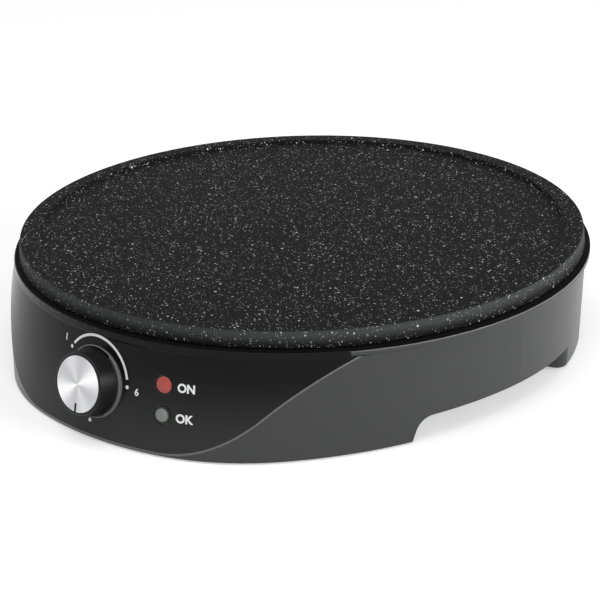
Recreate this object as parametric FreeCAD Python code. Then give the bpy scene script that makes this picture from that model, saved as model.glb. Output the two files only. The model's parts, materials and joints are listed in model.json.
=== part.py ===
"""Electric crepe maker: a round cast plate on a low moulded base with one control knob.

The model is drawn about the plate's own axis, front towards -Y, and is then set down so that
its origin is the middle of the bottom of its box. All sizes are in millimetres.
"""
import math
import os

import FreeCAD
import Part
from FreeCAD import Placement, Rotation, Vector

# Overall heights above the table
total_height = 64.4
pad_height = 1.2
skirt_lift = 1.0
arch_height = 13.0

# Cooking plate
plate_radius = 150.0
plate_draft = 0.9
plate_skirt = 8.44
plate_skirt_wall = 3.5
plate_thickness = 4.0
rim_width = 9.5
rim_step = 2.0
rim_slope = 1.0
plate_edge_radius = 0.8
boss_inset = 19.0
boss_radius = 5.0
plate_screw_angles = (40.0, 128.0, 232.0, 320.0)

# Heating element and its reflector
element_inset = 55.0
element_radius = 3.3
element_bend = 10.0
element_gap_angle = 14.0
element_leg = 3.0
channel_clearance = 0.3
channel_wall = 2.8
channel_depth = 5.4
bead_radius = 3.4
bead_height = 3.0
pin_radius = 1.2
pin_length = 9.0
reflector_sheet = 0.8
reflector_depth = 6.0
reflector_reach = 13.5
reflector_flare = 3.5
reflector_margin = 6.0
reflector_hole_clearance = 0.6
washer_thickness = 1.5
washer_radius = 5.0

# Base moulding: plan of the side wall, shoulder rim and control panel
wall = 2.8
wall_inset = 3.9
wall_draw = 2.1
rear_shift = 3.2
flank_ratio_top = 1.253
flank_ratio_foot = 1.307
flank_start = 85.0
front_reach = 11.2
corner_ratio = 0.67
shoulder_reach = 3.7
shoulder_drop = 9.72
shoulder_face = 2.5
shoulder_inset = 0.6
plate_gap = 0.5
lip_wall = 2.4
lip_height = 2.0
lip_clearance = 0.9
panel_inset = 0.4
panel_top_drop = 10.7
panel_tilt = 12.33
crease_radius = 0.6
deck_thickness = 3.0
deck_drop = 15.4
deck_clearance = 2.0
arch_share = 0.502
arch_lean = 18.0
arch_radius = 9.0

# Bottom cover, feet and pads
cover_thickness = 2.5
cover_lift = 0.5
cover_clearance = 0.5
post_inset = 11.7
post_radius = 4.5
cover_screw_angles = (66.0, 152.0, 208.0, 294.0)
rear_leg_start = 103.0
rear_leg_sweep = 18.0
rear_leg_depth = 19.0
rear_leg_corner = 6.0
rear_leg_sole = 2.4
front_foot_inset = 32.0
front_foot_angle = 38.0
front_foot_radius = 8.0
pad_radius = 6.2
vent_count = 9
vent_length = 34.0
vent_width = 3.0
vent_pitch = 8.0
vent_centre = 30.0

# Screws
screw_clearance = 0.05
plate_screw_radius = 2.0
plate_screw_head = 3.6
plate_screw_grip = 6.0
cover_screw_radius = 1.5
cover_screw_head = 3.0
cover_screw_grip = 14.0
head_height = 2.2
hole_clearance = 0.3
cross_width = 0.8
cross_depth = 0.9

# Control knob and thermostat, measured along the knob's axis from the panel
knob_height = 28.65
collar_radius = 18.0
collar_height = 0.9
knob_gap = 0.5
knob_length = 9.8
knob_base_radius = 17.0
knob_front_radius = 15.4
knob_wall = 1.6
knob_edge_radius = 0.8
knob_web = 2.4
stem_radius = 5.6
cap_radius = 14.05
cap_thickness = 1.2
cap_clearance = 0.1
pointer_length = 4.6
pointer_width = 1.3
spindle_radius = 3.0
spindle_flat = 2.3
spindle_hole_clearance = 0.6
running_clearance = 0.05
pad_depth = 2.2
pad_half_width = 23.0
pad_half_height = 10.0
bracket_thickness = 1.0
thermostat_half_width = 14.0
thermostat_below = 7.4
thermostat_above = 9.4
thermostat_depth = 17.0
terminal_length = 7.0
terminal_width = 6.3
terminal_sheet = 0.8
bracket_screw_reach = 18.5
bracket_screw_grip = 2.4

# Signal lamps
lamps = {"power": (14.9, 35.3), "ready": (14.8, 20.75)}
lamp_radius = 4.3
lamp_bezel_radius = 4.95
lamp_bezel_depth = 1.0
lamp_clearance = 0.15
lamp_dome = 0.5
lamp_flange_radius = 5.8
lamp_flange = 1.2
lamp_seat_gap = 0.25
lamp_barrel = 4.0
lamp_relief = 1.0
bulb_radius = 2.4
bulb_length = 6.5

# Supply side: gland in the rear wall, cord clamp, terminal block and thermal fuse
gland_height = 30.0
gland_bore = 3.6
gland_neck = 6.0
gland_flange = 8.5
gland_flange_thickness = 2.0
gland_tail = 5.0
clamp_inset = 23.9
clamp_depth = 8.0
clamp_half_width = 16.0
clamp_opening_half = 7.0
clamp_strap = 2.4
clamp_screw_reach = 13.0
block_place = (-52.0, 88.0)
block_size = (30.0, 17.0, 15.0)
block_pitch = 10.0
block_hole = 2.0
block_screw_radius = 1.5
fuse_place = (45.0, -52.0)
fuse_radius = 2.4
fuse_length = 12.0
fuse_clip_width = 8.0
fuse_clip_sheet = 0.8
fuse_clip_flange = 6.0
seat_gap = 0.2

# Heights worked out from the above
boss_circle = plate_radius - boss_inset
element_circle = plate_radius - element_inset
reflector_foot_radius = element_circle + reflector_reach
reflector_top_radius = reflector_foot_radius + reflector_flare
reflector_flange_radius = boss_circle + reflector_margin
deck_opening = reflector_top_radius + deck_clearance
shoulder_radius = plate_radius + shoulder_reach
rear_radius_top = shoulder_radius - wall_inset
rear_radius_foot = rear_radius_top - wall_draw
panel_top_radius = shoulder_radius - panel_inset
front_radius = panel_top_radius + front_reach
corner_radius = corner_ratio * front_radius
arch_front = arch_share * plate_radius
post_circle = rear_radius_foot - post_inset
rear_leg_inner = rear_radius_foot - rear_leg_depth
front_foot_circle = plate_radius - front_foot_inset
clamp_distance = rear_radius_foot + rear_shift - clamp_inset
skirt_floor = total_height - plate_skirt
cooking_level = total_height - rim_step
plate_underside = cooking_level - plate_thickness
ledge_level = skirt_floor - plate_gap
shoulder_edge = total_height - shoulder_drop
shoulder_floor = shoulder_edge - shoulder_face
panel_top = total_height - panel_top_drop
deck_top = total_height - deck_drop
deck_floor = deck_top - deck_thickness
cover_floor = arch_height + cover_lift
cover_top = cover_floor + cover_thickness
reflector_flange_top = deck_top + reflector_sheet
boss_floor = reflector_flange_top + washer_thickness
wall_top = shoulder_floor - shoulder_inset
quarter = 90.0
parts = {}


def polar(radius, azimuth, z):
    """Point at an azimuth counted from the front, positive towards +X."""
    turn = math.radians(azimuth)
    return Vector(radius * math.sin(turn), -radius * math.cos(turn), z)


def rounded_edges(points, radii, closed=True):
    """Straight runs through the points, with a tangent arc at each corner that has a radius."""
    count = len(points)
    corners = []
    for i, corner in enumerate(points):
        radius = radii[i]
        if radius == 0 or (not closed and i in (0, count - 1)):
            corners.append((corner, None, corner))
            continue
        back = (points[i - 1] - corner).normalize()
        ahead = (points[(i + 1) % count] - corner).normalize()
        half = back.getAngle(ahead) / 2
        reach = radius / math.tan(half)
        inward = (back + ahead).normalize()
        middle = corner + inward * (radius / math.sin(half) - radius)
        corners.append((corner + back * reach, middle, corner + ahead * reach))
    edges = []
    for i, (start, middle, end) in enumerate(corners):
        if middle is not None:
            edges.append(Part.Arc(start, middle, end).toShape())
        if closed or i < count - 1:
            following = corners[(i + 1) % count][0]
            if (following - end).Length > 1e-6:
                edges.append(Part.LineSegment(end, following).toShape())
    return edges


def turned(profile, radii=None, angle=360.0):
    """Solid of revolution about Z from (radius, height) corners."""
    radii = radii or [0] * len(profile)
    points = [Vector(radius, 0, height) for radius, height in profile]
    face = Part.Face(Part.Wire(rounded_edges(points, radii)))
    return face.revolve(Vector(0, 0, 0), Vector(0, 0, 1), angle)


def disc(radius, low, high, x=0.0, y=0.0):
    return Part.makeCylinder(radius, high - low, Vector(x, y, low))


def disc_at(radius, low, high, circle, azimuth):
    centre = polar(circle, azimuth, 0)
    return disc(radius, low, high, centre.x, centre.y)


def block(x_low, x_high, y_low, y_high, z_low, z_high):
    corner = Vector(x_low, y_low, z_low)
    return Part.makeBox(x_high - x_low, y_high - y_low, z_high - z_low, corner)


def panel_radius(z):
    """Radius of the conical control panel at a height."""
    return panel_top_radius + (panel_top - z) * math.tan(math.radians(panel_tilt))


def on_panel(shape, azimuth, height):
    """Set a shape drawn along +Z from a flat panel onto the real panel, facing outwards."""
    tilted = Placement(Vector(0, -panel_radius(height), height), Rotation(Vector(1, 0, 0), 90 - panel_tilt))
    turned_round = Placement(Vector(0, 0, 0), Rotation(Vector(0, 0, 1), azimuth))
    placed = shape.copy()
    placed.Placement = turned_round.multiply(tilted).multiply(shape.Placement)
    return placed


def arc_between(centre, radius, start, end):
    """Short arc about a centre from one point to another."""
    middle = ((start - centre).normalize() + (end - centre).normalize()).normalize()
    return Part.Arc(start, centre + middle * radius, end).toShape()


def meeting_point(first, first_radius, second, second_radius):
    """Point towards the front at stated distances from two centres."""
    between = second - first
    apart = between.Length
    along = (first_radius ** 2 - second_radius ** 2 + apart ** 2) / (2 * apart)
    across = math.sqrt(first_radius ** 2 - along ** 2)
    ahead = between / apart
    side = Vector(-ahead.y, ahead.x, 0) * across
    if side.y > 0:
        side = -side
    return first + ahead * along + side


def plan_outline(inset, z):
    """Closed outline of the base at a height: rear circle, flank arcs, corners and front arc."""
    share = (z - skirt_lift) / (wall_top - skirt_lift)
    rear = rear_radius_foot + share * (rear_radius_top - rear_radius_foot) - inset
    flank = plate_radius * (flank_ratio_foot + share * (flank_ratio_top - flank_ratio_foot)) - inset
    front = front_radius - inset
    corner = corner_radius - inset
    axis = Vector(0, 0, z)
    rear_axis = Vector(0, rear_shift, z)
    tangent = polar(1, flank_start, 0)
    flank_centre = rear_axis + tangent * (rear - flank)
    corner_centre = meeting_point(axis, front - corner, flank_centre, flank - corner)
    start = axis + (corner_centre - axis).normalize() * front
    bend = flank_centre + (corner_centre - flank_centre).normalize() * flank
    end = rear_axis + tangent * rear

    def mirrored(point):
        return Vector(-point.x, point.y, point.z)

    edges = [arc_between(axis, front, mirrored(start), start)]
    edges.append(arc_between(corner_centre, corner, start, bend))
    edges.append(arc_between(flank_centre, flank, bend, end))
    edges.append(Part.Arc(end, Vector(0, rear_shift + rear, z), mirrored(end)).toShape())
    edges.append(arc_between(mirrored(flank_centre), flank, mirrored(end), mirrored(bend)))
    edges.append(arc_between(mirrored(corner_centre), corner, mirrored(bend), mirrored(start)))
    return Part.Wire(edges)


def base_form(inset, low, high):
    """Solid inside the side wall and the panel, drawn in by an inset."""
    walls = Part.makeLoft([plan_outline(inset, low), plan_outline(inset, high)], True, True)
    cone_inset = inset / math.cos(math.radians(panel_tilt))
    cone = turned([(0, low), (panel_radius(low) - cone_inset, low),
                   (panel_radius(high) - cone_inset, high), (0, high)])
    return walls.common(cone)


def shoulder_ring():
    """Rim under the plate: a ledge that slopes out to a rounded edge, with a locating lip inside."""
    lip_outer = plate_radius + plate_draft - plate_skirt_wall - lip_clearance
    lip_inner = lip_outer - lip_wall
    body_outer = rear_radius_top - wall / 2
    profile = [(lip_inner, deck_floor), (lip_inner, ledge_level + lip_height), (lip_outer, ledge_level + lip_height),
               (lip_outer, ledge_level), (plate_radius + 0.5, ledge_level), (shoulder_radius, shoulder_edge),
               (shoulder_radius, shoulder_floor), (shoulder_radius - shoulder_inset, wall_top),
               (body_outer, wall_top), (body_outer, deck_floor)]
    return turned(profile, [0, 0.5, 0.5, 0, 1.5, 0.6, 0.4, 0, 0, 0])


def arch_cutter():
    """What is cut from the foot of the wall behind the front skirt, right across the base."""
    rise = arch_height
    lean = rise * math.tan(math.radians(arch_lean))
    reach = 2 * front_radius
    outline = [Vector(-reach, -arch_front, 0), Vector(-reach, -arch_front + lean, rise),
               Vector(-reach, reach, rise), Vector(-reach, reach, -5), Vector(-reach, -arch_front - 1.5, -5)]
    face = Part.Face(Part.Wire(rounded_edges(outline, [0, arch_radius, 0, 0, 0])))
    return face.extrude(Vector(2 * reach, 0, 0))


def crease_edges(shape):
    """Edges where the conical panel runs into the side walls."""
    found = []
    for edge in shape.Edges:
        first, last = edge.ParameterRange
        points = [edge.valueAt(first + share * (last - first)) for share in (0.2, 0.5, 0.8)]
        on_cone = all(abs(math.hypot(p.x, p.y) - panel_radius(p.z)) < 0.01 for p in points)
        level = abs(points[0].z - points[2].z) < 0.01
        if on_cone and not level:
            found.append(edge)
    return found


def rear_leg(side):
    """Rounded leg in the line of the side wall, which it carries down behind the arch."""
    low = pad_height
    profile = [(rear_leg_inner, low), (front_radius, low), (front_radius, arch_height), (rear_leg_inner, arch_height)]
    leg = turned(profile, angle=rear_leg_sweep)
    first = rear_leg_start - quarter if side > 0 else 3 * quarter - rear_leg_start - rear_leg_sweep
    leg.rotate(Vector(0, 0, 0), Vector(0, 0, 1), first)
    leg.translate(Vector(0, rear_shift, 0))
    leg = leg.common(base_form(0, skirt_lift, wall_top))
    uprights = [edge for edge in leg.Edges if edge.BoundBox.ZLength > (arch_height - low) / 2]
    leg = leg.makeFillet(rear_leg_corner, uprights)
    soles = [edge for edge in leg.Edges if edge.BoundBox.ZMax < low + 0.01]
    return leg.makeFillet(rear_leg_sole, soles)


def base_housing():
    outside = base_form(0, skirt_lift, wall_top)
    outside = outside.makeFillet(crease_radius, crease_edges(outside))
    shell = outside.fuse(shoulder_ring())
    lip_inner = plate_radius + plate_draft - plate_skirt_wall - lip_clearance - lip_wall
    shell = shell.cut(base_form(wall, skirt_lift - 1, deck_floor))
    shell = shell.cut(disc(lip_inner, deck_top, total_height))
    shell = shell.cut(disc(deck_opening, deck_floor - 1, deck_top + 1))
    shell = shell.cut(arch_cutter())
    for side in (-1, 1):
        shell = shell.fuse(rear_leg(side))
    for azimuth in cover_screw_angles:
        shell = shell.fuse(disc_at(post_radius, cover_top, deck_floor + 1, post_circle, azimuth))
    pilot = cover_screw_radius + screw_clearance
    for azimuth in cover_screw_angles:
        shell = shell.cut(disc_at(pilot, cover_top, cover_top + cover_screw_grip, post_circle, azimuth))
    for azimuth in plate_screw_angles:
        hole = plate_screw_radius + hole_clearance
        shell = shell.cut(disc_at(hole, deck_floor - 1, deck_top + 1, boss_circle, azimuth))
    shell = control_boss(shell)
    for azimuth, height in lamps.values():
        shell = shell.cut(on_panel(disc(lamp_radius + lamp_clearance, -2 * wall, 5), azimuth, height))
        bezel = disc(lamp_bezel_radius, -lamp_bezel_depth, 5)
        shell = shell.cut(on_panel(bezel, azimuth, height))
    gland_hole = Part.makeCylinder(gland_neck + screw_clearance, 4 * wall,
                                   Vector(0, rear_wall(gland_height) - 2 * wall, gland_height), Vector(0, 1, 0))
    return shell.cut(gland_hole).removeSplitter()


def control_boss(shell):
    """Raised collar round the knob, flat pad behind it, spindle hole and two blind screw holes."""
    collar = turned([(0, -wall / 2), (collar_radius, -wall / 2), (collar_radius, collar_height), (0, collar_height)],
                    [0, 0, 0.5, 0])
    back = -wall - pad_depth
    pad = block(-pad_half_width, pad_half_width, -pad_half_height, pad_half_height, back, -wall / 2)
    shell = shell.fuse(on_panel(collar, 0, knob_height))
    pad = on_panel(pad, 0, knob_height).common(base_form(wall / 2, skirt_lift, deck_floor))
    shell = shell.fuse(pad)
    hole = spindle_radius + spindle_hole_clearance
    shell = shell.cut(on_panel(disc(hole, back - 1, collar_height + 1), 0, knob_height))
    for side in (-1, 1):
        pilot = disc(cover_screw_radius + screw_clearance, back - 1, back + bracket_screw_grip,
                     side * bracket_screw_reach, 0)
        shell = shell.cut(on_panel(pilot, 0, knob_height))
    return shell


def griddle_plate():
    """Cast plate with a raised rim, a drafted skirt, the element channel and four screw bosses."""
    inner = plate_radius - rim_width
    skirt_inner = plate_radius + plate_draft - plate_skirt_wall
    profile = [(0, cooking_level), (inner - rim_slope, cooking_level), (inner, total_height),
               (plate_radius, total_height), (plate_radius + plate_draft, skirt_floor), (skirt_inner, skirt_floor),
               (skirt_inner - 0.4, plate_underside), (0, plate_underside)]
    plate = turned(profile, [0, 0.8, 0.5, plate_edge_radius, 0.3, 0.3, 1.2, 0])
    groove = element_radius + channel_clearance
    low = plate_underside - channel_depth
    high = plate_underside + 1
    for inside, outside in ((element_circle - groove - channel_wall, element_circle - groove),
                            (element_circle + groove, element_circle + groove + channel_wall)):
        plate = plate.fuse(turned([(inside, low), (outside, low), (outside, high), (inside, high)]))
    for azimuth in plate_screw_angles:
        plate = plate.fuse(disc_at(boss_radius, boss_floor, plate_underside + 1, boss_circle, azimuth))
    for azimuth in plate_screw_angles:
        pilot = plate_screw_radius + screw_clearance
        plate = plate.cut(disc_at(pilot, boss_floor, boss_floor + plate_screw_grip + 0.5, boss_circle, azimuth))
    return plate.removeSplitter()


def element_leg_places():
    """Where the two ends of the element come down, beside the front of its circle."""
    turn = math.radians(element_gap_angle)
    places = []
    for side in (-1, 1):
        start = Vector(side * element_circle * math.sin(turn), -element_circle * math.cos(turn), 0)
        towards = Vector(-side * math.cos(turn), -math.sin(turn), 0)
        places.append((start, towards, start + towards * element_bend))
    return places


def heating_element():
    """Sheathed tube round the plate, open at the front, with both ends bent down."""
    level = plate_underside - channel_clearance - element_radius
    foot = deck_top + reflector_sheet - reflector_depth - reflector_sheet - element_leg
    ends = []
    for start, towards, leg in element_leg_places():
        start = start + Vector(0, 0, level)
        turn_centre = start - Vector(0, 0, element_bend)
        middle = turn_centre + (towards + Vector(0, 0, 1)).normalize() * element_bend
        corner = leg + Vector(0, 0, level - element_bend)
        ends.append((start, middle, corner, leg + Vector(0, 0, foot)))
    left, right = ends
    edges = [Part.LineSegment(left[3], left[2]).toShape()]
    edges.append(Part.Arc(left[2], left[1], left[0]).toShape())
    edges.append(Part.Arc(left[0], Vector(0, element_circle, level), right[0]).toShape())
    edges.append(Part.Arc(right[0], right[1], right[2]).toShape())
    edges.append(Part.LineSegment(right[2], right[3]).toShape())
    section = Part.Wire(Part.makeCircle(element_radius, left[3], Vector(0, 0, 1)))
    return Part.Wire(edges).makePipeShell([section], True, True), foot


def element_ends(foot):
    """Ceramic beads and cold pins at the two ends of the element."""
    beads = []
    pins = []
    for _, _, leg in element_leg_places():
        bead = disc(bead_radius, foot - bead_height, foot, leg.x, leg.y)
        beads.append(bead.cut(disc(pin_radius + screw_clearance, foot - 10, foot + 1, leg.x, leg.y)))
        pins.append(disc(pin_radius, foot - pin_length, foot, leg.x, leg.y))
    return Part.makeCompound(beads), Part.makeCompound(pins)


def heat_reflector():
    """Pressed dish that hangs in the deck's opening by its flange."""
    top = reflector_flange_top
    low = top - reflector_sheet - reflector_depth
    profile = [(0, low), (reflector_foot_radius, low), (reflector_top_radius, deck_top),
               (reflector_flange_radius, deck_top), (reflector_flange_radius, top),
               (reflector_top_radius - 0.5, top), (reflector_foot_radius - 0.5, low + reflector_sheet),
               (0, low + reflector_sheet)]
    dish = turned(profile, [0, 2.0, 0, 0, 0, 0, 1.2, 0])
    for azimuth in plate_screw_angles:
        hole = plate_screw_radius + hole_clearance
        dish = dish.cut(disc_at(hole, low, top + 1, boss_circle, azimuth))
    for _, _, leg in element_leg_places():
        hole = element_radius + reflector_hole_clearance
        dish = dish.cut(disc(hole, low - 1, low + 2 * reflector_sheet, leg.x, leg.y))
    return dish


def pan_screw(radius, head, grip, seat, x, y):
    """Screw pointing up from a seat, with a round head below it and a cross recess."""
    screw = turned([(0, seat - head_height), (head, seat - head_height), (head, seat), (0, seat)], [0, 0.8, 0, 0])
    screw = screw.fuse(disc(radius, seat - 0.1, seat + grip))
    for long_x, long_y in ((head * 0.6, cross_width / 2), (cross_width / 2, head * 0.6)):
        screw = screw.cut(block(-long_x, long_x, -long_y, long_y, seat - head_height - 1,
                                seat - head_height + cross_depth))
    screw.translate(Vector(x, y, 0))
    return screw


def screws_at(angles, circle, radius, head, grip, seat):
    group = []
    for azimuth in angles:
        place = polar(circle, azimuth, 0)
        group.append(pan_screw(radius, head, grip, seat, place.x, place.y))
    return Part.makeCompound(group)


def pad_places():
    """Centres of the four rubber pads, by name."""
    middle = rear_leg_start + rear_leg_sweep / 2
    circle = rear_radius_foot - rear_leg_depth / 2
    back = Vector(0, rear_shift, 0)
    return {"front_right_pad": polar(front_foot_circle, front_foot_angle, 0),
            "front_left_pad": polar(front_foot_circle, -front_foot_angle, 0),
            "rear_right_pad": polar(circle, middle, 0) + back,
            "rear_left_pad": polar(circle, -middle, 0) + back}


def bottom_cover():
    """Floor of the base with vents, two front studs and the cord saddle."""
    cover = base_form(wall + cover_clearance, cover_floor, cover_top)
    for side in (-1, 1):
        stud = polar(front_foot_circle, side * front_foot_angle, 0)
        profile = [(0, pad_height), (front_foot_radius, pad_height),
                   (front_foot_radius + 1, cover_floor + 0.1), (0, cover_floor + 0.1)]
        front_stud = turned(profile, [0, 1.0, 0, 0])
        front_stud.translate(Vector(stud.x, stud.y, 0))
        cover = cover.fuse(front_stud)
    saddle_top = gland_height - gland_bore - seat_gap
    saddle = block(-clamp_half_width, clamp_half_width, clamp_distance, clamp_distance + clamp_depth,
                   cover_top - 0.1, saddle_top)
    cover = cover.fuse(saddle)
    pilot = cover_screw_radius + screw_clearance
    for side in (-1, 1):
        cover = cover.cut(disc(pilot, saddle_top - head_height * 4, saddle_top + 1,
                               side * clamp_screw_reach, clamp_distance + clamp_depth / 2))
    for azimuth in cover_screw_angles:
        hole = cover_screw_radius + hole_clearance
        cover = cover.cut(disc_at(hole, cover_floor - 1, cover_top + 1, post_circle, azimuth))
    for azimuth, height in lamps.values():
        relief = disc(lamp_flange_radius + lamp_relief, -3 * wall - lamp_barrel, 0)
        cover = cover.cut(on_panel(relief, azimuth, height))
    for row in (-1, 1):
        for index in range(vent_count):
            x = (index - (vent_count - 1) / 2) * vent_pitch
            y = row * vent_centre
            slot = block(x - vent_width / 2, x + vent_width / 2, y - vent_length / 2, y + vent_length / 2,
                         cover_floor - 1, cover_top + 1)
            cover = cover.cut(slot)
    return cover.removeSplitter()


def knob():
    """Hollow moulded knob with a stem for the flatted spindle and a seat for its metal cap."""
    low = collar_height + knob_gap
    high = low + knob_length
    seat = high - cap_thickness
    web = seat - knob_web
    profile = [(0, low), (stem_radius, low), (stem_radius, web), (knob_front_radius - knob_wall, web),
               (knob_base_radius - knob_wall, low), (knob_base_radius, low), (knob_front_radius, high),
               (cap_radius + cap_clearance, high), (cap_radius + cap_clearance, seat), (0, seat)]
    body = turned(profile, [0, 0, 0.5, 0.5, 0, 0.3, knob_edge_radius, 0, 0, 0])
    socket = flatted(spindle_radius + running_clearance, spindle_flat + running_clearance, low - 1, web + 0.6)
    return on_panel(body.cut(socket), 0, knob_height)


def flatted(radius, flat, low, high):
    """Round bar with one flat, as a knob's spindle has."""
    bar = disc(radius, low, high)
    return bar.common(block(-radius, radius, -radius, flat, low, high))


def knob_cap():
    """Spun aluminium disc with the pointer slot at its foot when the knob is off."""
    high = collar_height + knob_gap + knob_length
    low = high - cap_thickness
    cap = turned([(0, low), (cap_radius, low), (cap_radius, high + 0.2), (0, high + 0.2)], [0, 0, 0.5, 0])
    slot = block(-pointer_width / 2, pointer_width / 2, -cap_radius - 1, -cap_radius + pointer_length,
                 low - 1, high + 1)
    return on_panel(cap.cut(slot), 0, knob_height)


def thermostat_spindle():
    back = -wall - pad_depth - bracket_thickness
    front = collar_height + knob_gap + knob_length - cap_thickness - knob_web
    shaft = disc(spindle_radius, back - thermostat_depth + 4, collar_height + knob_gap - 0.2)
    shaft = shaft.fuse(flatted(spindle_radius, spindle_flat, collar_height + knob_gap - 0.2, front + 0.4))
    return on_panel(shaft, 0, knob_height)


def thermostat_bracket():
    """Steel plate on the flat pad behind the panel."""
    front = -wall - pad_depth
    reach = bracket_screw_reach + cover_screw_head
    plate = block(-reach, reach, -thermostat_below, thermostat_above - 1, front - bracket_thickness, front)
    plate = plate.cut(disc(spindle_radius + running_clearance, front - 3, front + 1))
    for side in (-1, 1):
        plate = plate.cut(disc(cover_screw_radius + hole_clearance, front - 3, front + 1,
                               side * bracket_screw_reach, 0))
    return on_panel(plate, 0, knob_height)


def bracket_screws():
    seat = -wall - pad_depth - bracket_thickness
    group = []
    for side in (-1, 1):
        screw = pan_screw(cover_screw_radius, cover_screw_head - 0.2, bracket_thickness + bracket_screw_grip - 0.2,
                          seat, side * bracket_screw_reach, 0)
        group.append(on_panel(screw, 0, knob_height))
    return Part.makeCompound(group)


def thermostat_body():
    """Ceramic switch block on the bracket, bored for the spindle."""
    front = -wall - pad_depth - bracket_thickness
    body = block(-thermostat_half_width, thermostat_half_width, -thermostat_below, thermostat_above,
                 front - thermostat_depth, front)
    lengthwise = [edge for edge in body.Edges if abs(edge.BoundBox.ZLength - thermostat_depth) < 0.01]
    body = body.makeFillet(1.5, lengthwise)
    body = body.cut(disc(spindle_radius + running_clearance, front - thermostat_depth + 3.5, front + 1))
    return on_panel(body, 0, knob_height)


def thermostat_terminals():
    """Two blade terminals on the back of the switch block."""
    back = -wall - pad_depth - bracket_thickness - thermostat_depth
    blades = []
    for side in (-1, 1):
        x = side * thermostat_half_width * 0.55
        blade = block(x - terminal_sheet / 2, x + terminal_sheet / 2, 0, terminal_width, back - terminal_length, back)
        blades.append(on_panel(blade, 0, knob_height))
    return Part.makeCompound(blades)


def lamp_lens(azimuth, height):
    """Clear plug with a shallow dome, a flange behind the panel and a barrel for its bulb."""
    flange_front = -wall - lamp_seat_gap
    flange_back = flange_front - lamp_flange
    back = flange_back - lamp_barrel
    profile = [(0, lamp_dome), (lamp_radius, -lamp_dome), (lamp_radius, flange_front),
               (lamp_flange_radius, flange_front), (lamp_flange_radius, flange_back), (lamp_radius - 0.2, flange_back),
               (lamp_radius - 0.2, back), (bulb_radius + lamp_clearance, back),
               (bulb_radius + lamp_clearance, flange_front), (0, flange_front)]
    lens = turned(profile, [0, 0.3, 0, 0, 0, 0, 0, 0, 0, 0])
    return on_panel(lens, azimuth, height)


def lamp_bulb(azimuth, height):
    """Small neon bulb inside its lens's barrel."""
    front = -wall - lamp_seat_gap - seat_gap
    bulb = turned([(0, front - bulb_length), (bulb_radius, front - bulb_length), (bulb_radius, front), (0, front)],
                  [0, 0.6, 1.8, 0])
    return on_panel(bulb, azimuth, height)


def along_y(radius, start, end, x, z):
    return Part.makeCylinder(radius, end - start, Vector(x, start, z), Vector(0, 1, 0))


def rear_wall(z):
    """How far back the wall's outer face is at a height."""
    share = (z - skirt_lift) / (wall_top - skirt_lift)
    return rear_shift + rear_radius_foot + share * (rear_radius_top - rear_radius_foot)


def cord_gland():
    """Bush in the rear wall that the cord passes through."""
    face = rear_wall(gland_height - gland_flange) + seat_gap / 2
    face = max(face, rear_wall(gland_height + gland_flange) + seat_gap / 2)
    inside = rear_wall(gland_height) - wall - gland_tail
    outside = face + gland_flange_thickness
    flange = along_y(gland_flange, face, outside, 0, gland_height)
    rims = [edge for edge in flange.Edges if edge.BoundBox.YMin > outside - 0.01]
    flange = flange.makeFillet(0.8, rims)
    bush = flange.fuse(along_y(gland_neck, inside, face + 0.1, 0, gland_height))
    return bush.cut(along_y(gland_bore, inside - 1, outside + 1, 0, gland_height))


def cord_clamp():
    """Bridge over the cord, screwed down on the cover's saddle."""
    low = gland_height - gland_bore - seat_gap
    crown = gland_height + gland_bore + seat_gap
    half = clamp_half_width
    opening = clamp_opening_half
    strap = clamp_strap
    outline = [(-half, low), (-opening, low), (-opening, crown), (opening, crown), (opening, low), (half, low),
               (half, low + strap), (opening + strap, low + strap), (opening + strap, crown + strap),
               (-opening - strap, crown + strap), (-opening - strap, low + strap), (-half, low + strap)]
    points = [Vector(x, clamp_distance, z) for x, z in outline]
    radii = [0, 0, 1.5, 1.5, 0, 0, 0, 0.3, 2.5, 2.5, 0.3, 0]
    bridge = Part.Face(Part.Wire(rounded_edges(points, radii))).extrude(Vector(0, clamp_depth, 0))
    for side in (-1, 1):
        bridge = bridge.cut(disc(cover_screw_radius + hole_clearance, low - 1, crown,
                                 side * clamp_screw_reach, clamp_distance + clamp_depth / 2))
    return bridge


def clamp_screws():
    seat = gland_height - gland_bore - seat_gap + clamp_strap
    group = []
    for side in (-1, 1):
        screw = pan_screw(cover_screw_radius, cover_screw_head - 0.6, head_height * 3, seat,
                          side * clamp_screw_reach, clamp_distance + clamp_depth / 2)
        screw.rotate(Vector(side * clamp_screw_reach, clamp_distance + clamp_depth / 2, seat),
                     Vector(0, 1, 0), 180)
        group.append(screw)
    return Part.makeCompound(group)


def terminal_block():
    """Three-way block on the cover, bored through for the conductors and for its screws."""
    x, y = block_place
    length, width, height = block_size
    body = block(x - length / 2, x + length / 2, y - width / 2, y + width / 2, cover_top, cover_top + height)
    for way in (-1, 0, 1):
        body = body.cut(along_y(block_hole, y - width, y + width, x + way * block_pitch, cover_top + height * 0.4))
        body = body.cut(disc(block_screw_radius + screw_clearance, cover_top + height * 0.4,
                             cover_top + height + 1, x + way * block_pitch, y))
    return body


def terminal_screws():
    x, y = block_place
    height = block_size[2]
    low = cover_top + height * 0.4 + block_hole
    group = [disc(block_screw_radius, low, cover_top + height - 1, x + way * block_pitch, y) for way in (-1, 0, 1)]
    return Part.makeCompound(group)


def fuse_height():
    low = reflector_flange_top - reflector_sheet - reflector_depth
    return low - seat_gap - fuse_radius


def thermal_fuse():
    x, y = fuse_place
    fuse = along_y(fuse_radius, y - fuse_length / 2, y + fuse_length / 2, x, fuse_height())
    return fuse.makeFillet(0.8, [edge for edge in fuse.Edges if edge.BoundBox.YLength < 0.01])


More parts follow.
